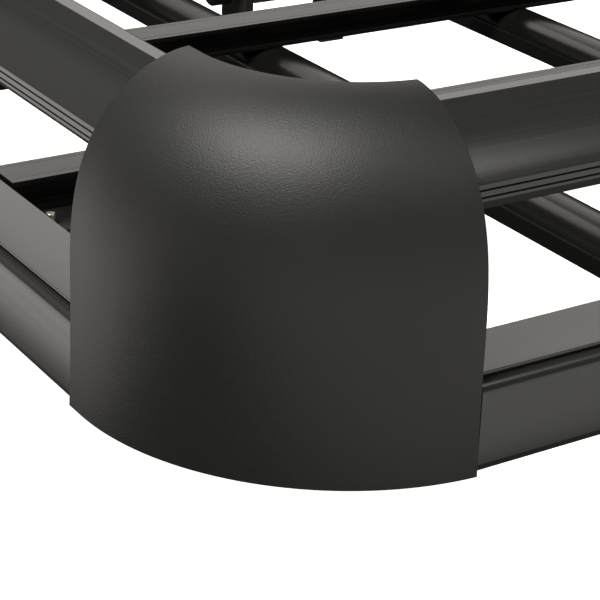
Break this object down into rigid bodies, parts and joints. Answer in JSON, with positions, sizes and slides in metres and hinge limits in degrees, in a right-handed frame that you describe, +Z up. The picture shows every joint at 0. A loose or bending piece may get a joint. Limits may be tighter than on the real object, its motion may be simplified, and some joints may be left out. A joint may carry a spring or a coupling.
{
  "type": "vehicle roof luggage rack",
  "caption": "Two-tier luggage basket for a vehicle roof, with slotted floor bars on slats, moulded corner caps and sliding clamps for cross bars.",
  "frame": {"origin": "below the middle of the rack, on the surface its clamp claws stand on", "axes": "+X along the vehicle to the front, +Y across it to the left, +Z up"},
  "size_m": [1.2342, 0.8516, 0.1731],
  "materials": {
    "black_rail": "black anodised extrusion, satin, finely brushed along its length",
    "black_moulded": "black moulding with a fine leather grain",
    "black_cast": "black painted casting, matt",
    "zinc_plated": "zinc plated, slightly yellow",
    "rubber": "black rubber, matt"
  },
  "bodies": {
    "rack": {"lower_rail_right": "black_rail", "lower_rail_front": "black_rail", "lower_rail_left": "black_rail", "lower_rail_rear": "black_rail", "upper_rail_right": "black_rail", "upper_rail_front": "black_rail", "upper_rail_left": "black_rail", "upper_rail_rear": "black_rail", "corner_cap_rear_right": "black_moulded", "corner_cap_front_right": "black_moulded", "corner_cap_front_left": "black_moulded", "corner_cap_rear_left": "black_moulded", "corner_casting_rear_right": "black_cast", "corner_casting_front_right": "black_cast", "corner_casting_front_left": "black_cast", "corner_casting_rear_left": "black_cast", "upright_right_1": "black_moulded", "upright_right_2": "black_moulded", "upright_left_1": "black_moulded", "upright_left_2": "black_moulded", "upright_front_1": "black_moulded", "upright_rear_1": "black_moulded", "floor_bar_1": "black_rail", "floor_bar_2": "black_rail", "floor_bar_3": "black_rail", "slat_1": "black_rail", "slat_2": "black_rail", "slat_3": "black_rail", "slat_4": "black_rail", "slat_5": "black_rail", "bar_cleat_rear_1": "black_cast", "bar_cleat_rear_2": "black_cast", "bar_cleat_rear_3": "black_cast", "bar_cleat_front_1": "black_cast", "bar_cleat_front_2": "black_cast", "bar_cleat_front_3": "black_cast", "cleat_screw_rear_1": "zinc_plated", "cleat_screw_rear_2": "zinc_plated", "cleat_screw_rear_3": "zinc_plated", "cleat_screw_front_1": "zinc_plated", "cleat_screw_front_2": "zinc_plated", "cleat_screw_front_3": "zinc_plated"},
    "clamp_rear_right": {"clamp_saddle_rear_right": "black_cast", "clamp_pad_rear_right": "rubber"},
    "claw_rear_right": {"clamp_claw_rear_right": "black_cast"},
    "knob_rear_right": {"clamp_knob_rear_right": "black_moulded"},
    "clamp_front_right": {"clamp_saddle_front_right": "black_cast", "clamp_pad_front_right": "rubber"},
    "claw_front_right": {"clamp_claw_front_right": "black_cast"},
    "knob_front_right": {"clamp_knob_front_right": "black_moulded"},
    "clamp_front_left": {"clamp_saddle_front_left": "black_cast", "clamp_pad_front_left": "rubber"},
    "claw_front_left": {"clamp_claw_front_left": "black_cast"},
    "knob_front_left": {"clamp_knob_front_left": "black_moulded"},
    "clamp_rear_left": {"clamp_saddle_rear_left": "black_cast", "clamp_pad_rear_left": "rubber"},
    "claw_rear_left": {"clamp_claw_rear_left": "black_cast"},
    "knob_rear_left": {"clamp_knob_rear_left": "black_moulded"}
  },
  "joints": [
    {"name": "clamp_slide_rear_right", "type": "slide", "parent": "rack", "child": "clamp_rear_right", "axis": [-1, 0, 0], "range_m": [-0.005, 0.028]},
    {"name": "claw_draw_rear_right", "type": "slide", "parent": "clamp_rear_right", "child": "claw_rear_right", "axis": [-1, 0, 0], "range_m": [0, 0.008]},
    {"name": "knob_turn_rear_right", "type": "hinge", "parent": "claw_rear_right", "child": "knob_rear_right", "pos_m": [-0.281, -0.158, 0.044], "axis": [-1, 0, 0], "range_deg": [0, 1440]},
    {"name": "clamp_slide_front_right", "type": "slide", "parent": "rack", "child": "clamp_front_right", "axis": [1, 0, 0], "range_m": [-0.005, 0.028]},
    {"name": "claw_draw_front_right", "type": "slide", "parent": "clamp_front_right", "child": "claw_front_right", "axis": [1, 0, 0], "range_m": [0, 0.008]},
    {"name": "knob_turn_front_right", "type": "hinge", "parent": "claw_front_right", "child": "knob_front_right", "pos_m": [0.281, -0.158, 0.044], "axis": [1, 0, 0], "range_deg": [0, 1440]},
    {"name": "clamp_slide_front_left", "type": "slide", "parent": "rack", "child": "clamp_front_left", "axis": [1, 0, 0], "range_m": [-0.005, 0.028]},
    {"name": "claw_draw_front_left", "type": "slide", "parent": "clamp_front_left", "child": "claw_front_left", "axis": [1, 0, 0], "range_m": [0, 0.008]},
    {"name": "knob_turn_front_left", "type": "hinge", "parent": "claw_front_left", "child": "knob_front_left", "pos_m": [0.281, 0.158, 0.044], "axis": [1, 0, 0], "range_deg": [0, 1440]},
    {"name": "clamp_slide_rear_left", "type": "slide", "parent": "rack", "child": "clamp_rear_left", "axis": [-1, 0, 0], "range_m": [-0.005, 0.028]},
    {"name": "claw_draw_rear_left", "type": "slide", "parent": "clamp_rear_left", "child": "claw_rear_left", "axis": [-1, 0, 0], "range_m": [0, 0.008]},
    {"name": "knob_turn_rear_left", "type": "hinge", "parent": "claw_rear_left", "child": "knob_rear_left", "pos_m": [-0.281, 0.158, 0.044], "axis": [-1, 0, 0], "range_deg": [0, 1440]}
  ],
  "couplings": [
    {"joint": "knob_turn_rear_right", "follows": "claw_draw_rear_right", "rad_per_m": 3141.5},
    {"joint": "knob_turn_front_right", "follows": "claw_draw_front_right", "rad_per_m": 3141.5},
    {"joint": "knob_turn_front_left", "follows": "claw_draw_front_left", "rad_per_m": 3141.5},
    {"joint": "knob_turn_rear_left", "follows": "claw_draw_rear_left", "rad_per_m": 3141.5}
  ]
}
